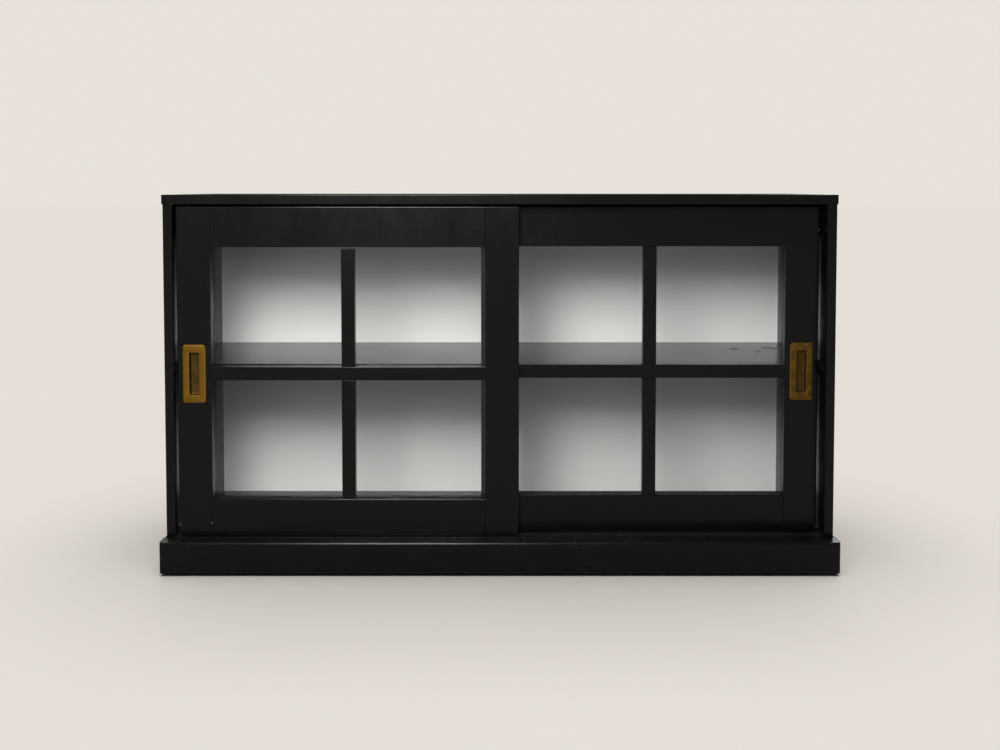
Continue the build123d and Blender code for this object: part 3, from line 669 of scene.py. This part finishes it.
def pick(piece, kind, wanted):
    """Opens edit mode with only the faces or edges that pass a test selected."""
    bpy.ops.object.mode_set(mode="EDIT")
    bpy.ops.mesh.select_mode(type=kind)
    bpy.ops.mesh.select_all(action="DESELECT")
    bpy.ops.object.mode_set(mode="OBJECT")
    items = piece.data.polygons if kind == "FACE" else piece.data.edges
    for item in items:
        item.select = wanted(item)
    bpy.ops.object.mode_set(mode="EDIT")


def ends(piece, edge):
    """The two end points of an edge."""
    return [piece.data.vertices[i].co.copy() for i in edge.vertices]


def shape_done(piece, angle=35.0):
    """Leaves edit mode with normals outwards and smooth shading up to an angle."""
    bpy.ops.object.mode_set(mode="EDIT")
    bpy.ops.mesh.select_all(action="SELECT")
    bpy.ops.mesh.normals_make_consistent(inside=False)
    bpy.ops.object.mode_set(mode="OBJECT")
    bpy.ops.object.shade_smooth_by_angle(angle=math.radians(angle))


def coat(piece, material, body):
    """Gives a finished piece its material and slot, and the body it moves with."""
    piece.data.materials.clear()
    piece.data.materials.append(material)
    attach(piece, body)


# --- Flush pulls ---
PLATE_THICKNESS = 1.5 * MM
CUP_SIZE = (18.0 * MM, 76.0 * MM)
CUP_DEPTH = 9.5 * MM
CUP_WALL = 1.0 * MM
PLATE_CORNER = 2.6 * MM
PLATE_RIM = 0.9 * MM
CUP_CORNER = 2.2 * MM
CUP_LIP = 0.35 * MM
CUP_FLOOR_ROUND = 1.8 * MM
RIM_BAND = 4.0 * MM


def make_pull(node, body, brass):
    """A flush pull pressed from brass: a plate with a soft rim and a deep finger cup."""
    low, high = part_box(node)
    centre = (low + high) / 2
    face_y = low.y
    back_y = face_y + PLATE_THICKNESS
    pull = start_block(node.replace("_pull", "_flush_pull"), low, Vector((high.x, back_y, high.z)))

    def sink(face_at, normal_y, size, travel):
        """Insets the plate's front or back to a size and moves it along Y."""
        pick(pull, "FACE",
             lambda f: f.normal.y * normal_y > FACING and abs(f.center.y - face_at) < NEAR)
        margin = (high.x - low.x - size[0]) / 2
        bpy.ops.mesh.inset(thickness=margin, depth=0.0)
        tall = high.z - low.z - 2 * margin
        bpy.ops.transform.resize(value=(1.0, 1.0, size[1] / tall), center_override=centre)
        bpy.ops.mesh.extrude_region_move(TRANSFORM_OT_translate={"value": (0.0, travel, 0.0)})

    outer = (CUP_SIZE[0] + 2 * CUP_WALL, CUP_SIZE[1] + 2 * CUP_WALL)
    sink(face_y, -1, CUP_SIZE, CUP_DEPTH)
    sink(back_y, 1, outer, CUP_DEPTH + CUP_WALL - PLATE_THICKNESS)

    def runs_back(edge, half_width):
        """True for the edges along Y at the four corners of a rectangle of that half width."""
        a, b = ends(pull, edge)
        return abs(a.y - b.y) > MM and abs(abs(a.x - centre.x) - half_width) < NEAR

    def lies_at(edge, y, half_width, half_height):
        """True for the edges of a rectangle that lie in a plane across Y."""
        for point in ends(pull, edge):
            past_x = abs(point.x - centre.x) - half_width
            past_z = abs(point.z - centre.z) - half_height
            inside = past_x < NEAR and past_z < NEAR
            at_rim = abs(past_x) < RIM_BAND or abs(past_z) < RIM_BAND
            if abs(point.y - y) >= IN_PLANE or not inside or not at_rim:
                return False
        return True

    def round_off(offset, segments, wanted):
        pick(pull, "EDGE", wanted)
        bpy.ops.mesh.bevel(offset=offset, offset_type="OFFSET", segments=segments, profile=0.5,
                           affect="EDGES")

    half_plate = ((high.x - low.x) / 2, (high.z - low.z) / 2)
    half_cup = (CUP_SIZE[0] / 2, CUP_SIZE[1] / 2)
    half_shell = (outer[0] / 2, outer[1] / 2)

    def on_plate_rim(edge):
        return lies_at(edge, face_y, *half_plate) and not lies_at(edge, face_y, *half_cup)

    round_off(PLATE_CORNER, segments=5, wanted=lambda e: runs_back(e, half_plate[0]))
    round_off(CUP_CORNER, segments=5, wanted=lambda e: runs_back(e, half_cup[0]))
    round_off(CUP_CORNER + CUP_WALL, segments=5, wanted=lambda e: runs_back(e, half_shell[0]))
    round_off(PLATE_RIM, segments=3, wanted=on_plate_rim)
    round_off(CUP_LIP, segments=3, wanted=lambda e: lies_at(e, face_y, *half_cup))
    round_off(CUP_FLOOR_ROUND, segments=4,
              wanted=lambda e: lies_at(e, face_y + CUP_DEPTH, *half_cup))
    shape_done(pull)
    coat(pull, brass, body)
    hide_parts(node)


make_pull("front_door_pull", "front_door", front_brass)
make_pull("rear_door_pull", "rear_door", rear_brass)


# --- Felt pads ---
PAD_CORNER = 3.0 * MM
PAD_SOFT_EDGE = 0.6 * MM


def make_pad(node):
    """A stick-on felt pad with round corners, its free face soft at the edge."""
    low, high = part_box(node)
    pad = start_block(node.replace("_bumper", "_felt_pad"), low, high)
    free_x = low.x if low.x > 0 else high.x
    pick(pad, "EDGE", lambda e: abs(ends(pad, e)[0].x - ends(pad, e)[1].x) > MM)
    bpy.ops.mesh.bevel(offset=PAD_CORNER, segments=6, profile=0.5, affect="EDGES")
    pick(pad, "EDGE", lambda e: all(abs(point.x - free_x) < IN_PLANE for point in ends(pad, e)))
    bpy.ops.mesh.bevel(offset=PAD_SOFT_EDGE, segments=3, profile=0.5, affect="EDGES")
    shape_done(pad, angle=60.0)
    coat(pad, felt, "carcass")
    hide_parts(node)


make_pad("left_bumper")
make_pad("right_bumper")


# --- Floor, light and camera ---
PALE_SURROUND = (0.80, 0.755, 0.70, 1.0)
PALE_FLOOR = (0.70, 0.66, 0.61, 1.0)
PALE_FLOOR_LIGHT = (0.72, 0.68, 0.63, 1.0)
FLOOR_BOUNCE = (0.19, 0.18, 0.17, 1.0)
FLOOR_SIDE = 60.0
REFLECTED_WHITE = (1.0, 0.98, 0.96, 1.0)
REFLECTED_STRENGTH = 0.085
FLOOR_SUN_STRENGTH = 3.2
FLOOR_SUN_SPREAD = 70.0
LAMP_WHITE = (1.0, 0.99, 0.97)

# soft square lamps: name, place, point it aims at, side, watts
SOFT_LAMPS = (
    ("window_light", (-0.36, -1.40, 1.25), (-0.05, 0.0, 0.35), 0.58, 20.5),
    ("right_rear_light", (1.70, 1.60, 1.50), (0.2, 0.0, 0.3), 1.2, 20.0),
    ("left_rear_light", (-1.80, 1.40, 1.30), (-0.2, 0.0, 0.3), 1.2, 14.0),
)

SENSOR_WIDTH = 36.0
FOCAL_LENGTH = 31.68
CAMERA_SHIFT = -0.155
CAMERA_PLACE = (0.0002, -1.6813, 0.6830)
CAMERA_DOWN = 2.054


def make_floor():
    """A plain pale floor that throws little light back at the cabinet."""
    clear_selection()
    bpy.ops.mesh.primitive_plane_add(size=FLOOR_SIDE, location=(0.0, 0.0, 0.0))
    floor = bpy.context.object
    floor.name = "pale_floor"
    material, tree, shader = finish("pale_floor", Roughness=1.0, Specular_IOR_Level=0.0)
    shade = noise(tree, place(tree), scale=1.5, detail=3.0, roughness=0.5)
    seen = blend_colours(tree, shade, PALE_FLOOR, PALE_FLOOR_LIGHT)
    rays = tree.nodes.new("ShaderNodeLightPath")
    colour = blend_colours(tree, rays.outputs["Is Camera Ray"], FLOOR_BOUNCE, seen)
    plug(tree, colour, shader.inputs["Base Color"])
    floor.data.materials.append(material)
    return floor


def make_room_light():
    """A pale surround for the camera, and a dimmer one for what the cabinet reflects."""
    world = bpy.data.worlds.new("soft_room")
    world.use_nodes = True
    tree = world.node_tree
    rays = tree.nodes.new("ShaderNodeLightPath")
    seen = tree.nodes["Background"]
    reflected = tree.nodes.new("ShaderNodeBackground")
    seen.inputs["Color"].default_value = PALE_SURROUND
    seen.inputs["Strength"].default_value = 1.0
    reflected.inputs["Color"].default_value = REFLECTED_WHITE
    reflected.inputs["Strength"].default_value = REFLECTED_STRENGTH
    mix = tree.nodes.new("ShaderNodeMixShader")
    tree.links.new(rays.outputs["Is Camera Ray"], mix.inputs[0])
    tree.links.new(reflected.outputs[0], mix.inputs[1])
    tree.links.new(seen.outputs[0], mix.inputs[2])
    tree.links.new(mix.outputs[0], tree.nodes["World Output"].inputs["Surface"])
    bpy.context.scene.world = world


def add_lamp(name, light, at, aim, receivers):
    """Places a lamp; receivers is a collection that says what it lights."""
    lamp = bpy.data.objects.new(name, light)
    bpy.context.scene.collection.objects.link(lamp)
    lamp.location = at
    lamp.rotation_euler = (Vector(aim) - Vector(at)).to_track_quat("-Z", "Y").to_euler()
    lamp.light_linking.receiver_collection = receivers


def make_soft_lamp(name, at, aim, side, watts, receivers):
    light = bpy.data.lights.new(name, "AREA")
    light.shape = "SQUARE"
    light.size = side
    light.energy = watts
    light.color = LAMP_WHITE
    add_lamp(name, light, at, aim, receivers)


def make_floor_sun(receivers):
    """Even light from straight above, for the floor alone."""
    light = bpy.data.lights.new("floor_light", "SUN")
    light.energy = FLOOR_SUN_STRENGTH
    light.angle = math.radians(FLOOR_SUN_SPREAD)
    add_lamp("floor_light", light, at=(0.0, 0.0, 3.0), aim=(0.0, 0.001, 0.0), receivers=receivers)


def make_lamps(floor):
    """A light for the floor alone, and soft lamps for all the rest."""
    floor_only = bpy.data.collections.new("floor_only")
    floor_only.objects.link(floor)
    all_but_floor = bpy.data.collections.new("all_but_floor")
    all_but_floor.objects.link(floor)
    all_but_floor.collection_objects[0].light_linking.link_state = "EXCLUDE"
    make_floor_sun(floor_only)
    for name, at, aim, side, watts in SOFT_LAMPS:
        make_soft_lamp(name, at, aim, side, watts, all_but_floor)


def make_camera():
    lens = bpy.data.cameras.new("camera")
    lens.sensor_width = SENSOR_WIDTH
    lens.lens = FOCAL_LENGTH
    lens.shift_y = CAMERA_SHIFT
    camera = bpy.data.objects.new("camera", lens)
    bpy.context.scene.collection.objects.link(camera)
    camera.location = CAMERA_PLACE
    camera.rotation_euler = (math.radians(90.0 - CAMERA_DOWN), 0.0, 0.0)
    bpy.context.scene.camera = camera


make_room_light()
make_lamps(make_floor())
make_camera()
bpy.context.scene.view_settings.view_transform = "Standard"
